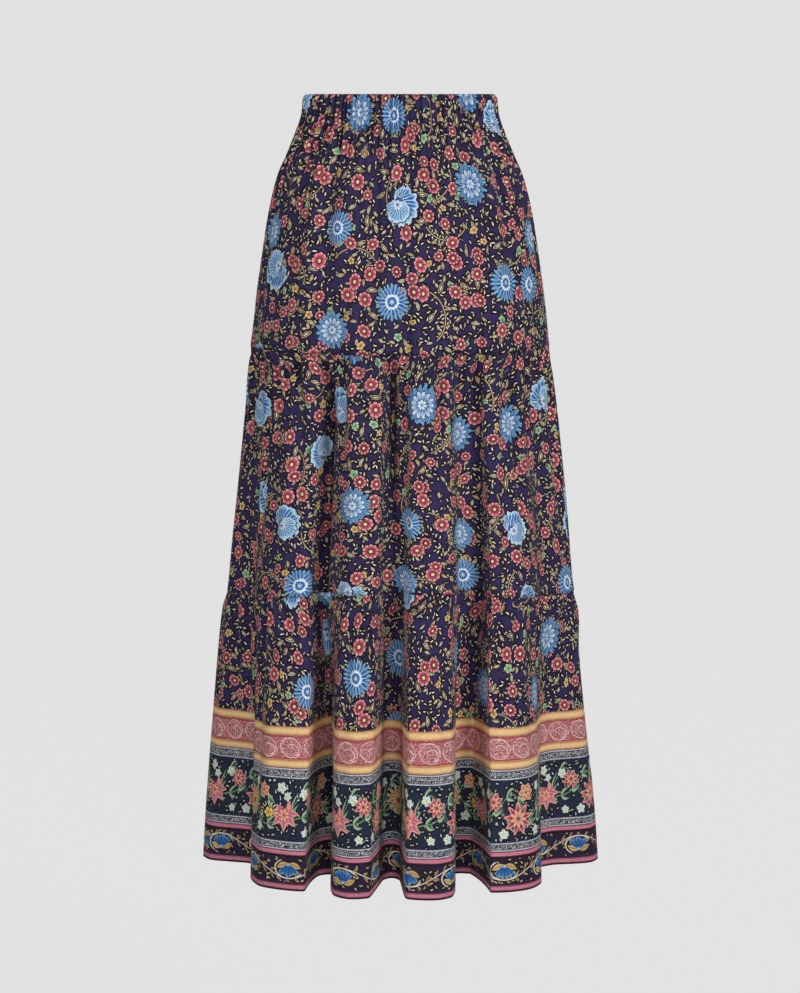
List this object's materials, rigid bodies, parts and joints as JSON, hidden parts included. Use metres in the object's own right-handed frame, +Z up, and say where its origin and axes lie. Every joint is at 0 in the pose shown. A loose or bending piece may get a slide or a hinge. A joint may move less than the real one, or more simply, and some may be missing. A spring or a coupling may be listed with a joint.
{
  "type": "maxi skirt",
  "caption": "Tiered maxi skirt, hollow as worn: a shirred elastic waistband, a yoke and two gathered tiers falling in deep hem folds over an open hem.",
  "frame": {"origin": "centre of the waistband on the skirt's own axis, half way up the elastic", "axes": "+Z up towards the waist, -Y towards the front of the skirt, +X to the right of someone looking at the front"},
  "size_m": [0.4897, 0.3505, 0.94],
  "materials": {
    "casing": "navy floral viscose shirred over elastic",
    "printed_cloth": "plain-weave viscose, navy with a coral, blue and gold floral print",
    "border_cloth": "plain-weave viscose, navy floral print with printed coral, gold and grey border bands"
  },
  "bodies": {
    "root": {"waistband": "casing", "yoke_front": "printed_cloth", "yoke_back": "printed_cloth", "middle_tier_front": "printed_cloth", "middle_tier_back": "printed_cloth", "lower_tier_front": "border_cloth", "lower_tier_back": "border_cloth"}
  },
  "joints": []
}
